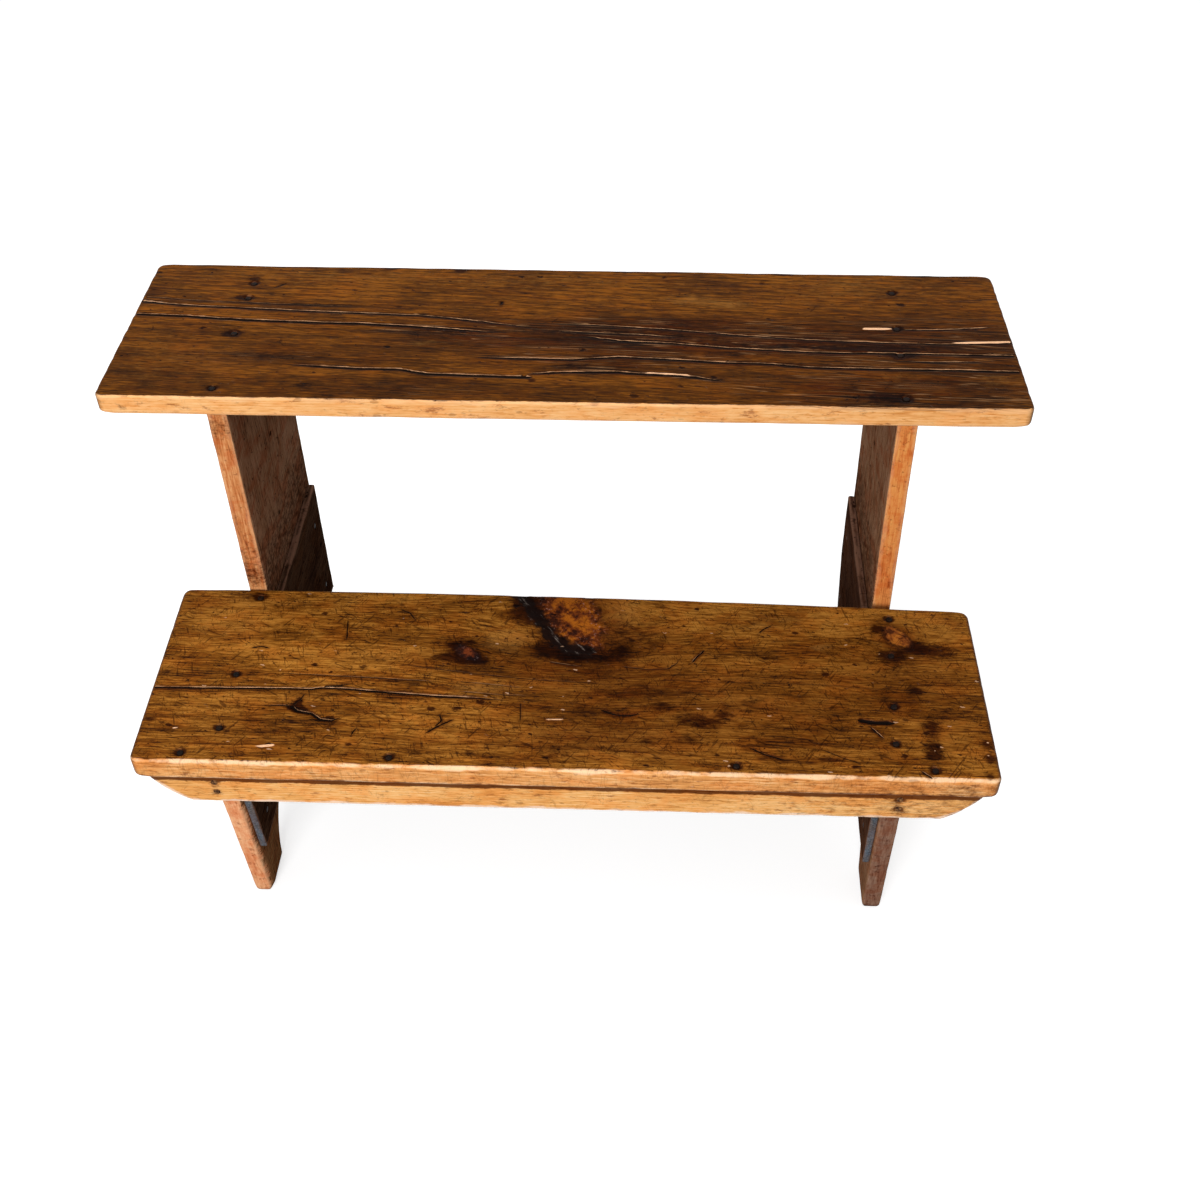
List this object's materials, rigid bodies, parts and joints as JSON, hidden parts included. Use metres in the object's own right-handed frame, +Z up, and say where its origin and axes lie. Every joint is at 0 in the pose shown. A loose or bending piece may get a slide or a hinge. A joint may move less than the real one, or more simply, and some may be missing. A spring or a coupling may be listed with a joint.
{
  "type": "bucket bench",
  "caption": "Stepped wooden bucket bench: two worn plank shelves on nailed board ends with sawn arched feet, a front apron and inner battens.",
  "frame": {"origin": "on the floor, under the middle of the bench's bounding box", "axes": "+X along the shelves to the right, +Y to the back, +Z up"},
  "size_m": [0.9142, 0.4949, 0.5466],
  "materials": {
    "top_shelf_pine": "worn semi-gloss amber-brown finish over cracked old pine",
    "lower_shelf_pine": "worn semi-gloss amber-brown finish over knotty old pine",
    "apron_pine": "worn orange-tan pine with rubbed edges",
    "end_board_pine": "orange-tan to brown old pine, satin",
    "batten_pine": "dark, dry, grey-brown old board",
    "nail_iron": "dark, lightly rusted"
  },
  "bodies": {
    "root": {"apron": "apron_pine", "apron_nails_left": "nail_iron", "apron_nails_right": "nail_iron", "batten_left": "batten_pine", "batten_nails_left": "nail_iron", "batten_nails_right": "nail_iron", "batten_right": "batten_pine", "front_leg_left": "end_board_pine", "front_leg_right": "end_board_pine", "lower_shelf": "lower_shelf_pine", "lower_shelf_nails_left": "nail_iron", "lower_shelf_nails_right": "nail_iron", "shelf_to_apron_nails": "nail_iron", "top_shelf": "top_shelf_pine", "top_shelf_nails_left": "nail_iron", "top_shelf_nails_right": "nail_iron", "upright_left": "end_board_pine", "upright_right": "end_board_pine"}
  },
  "joints": []
}
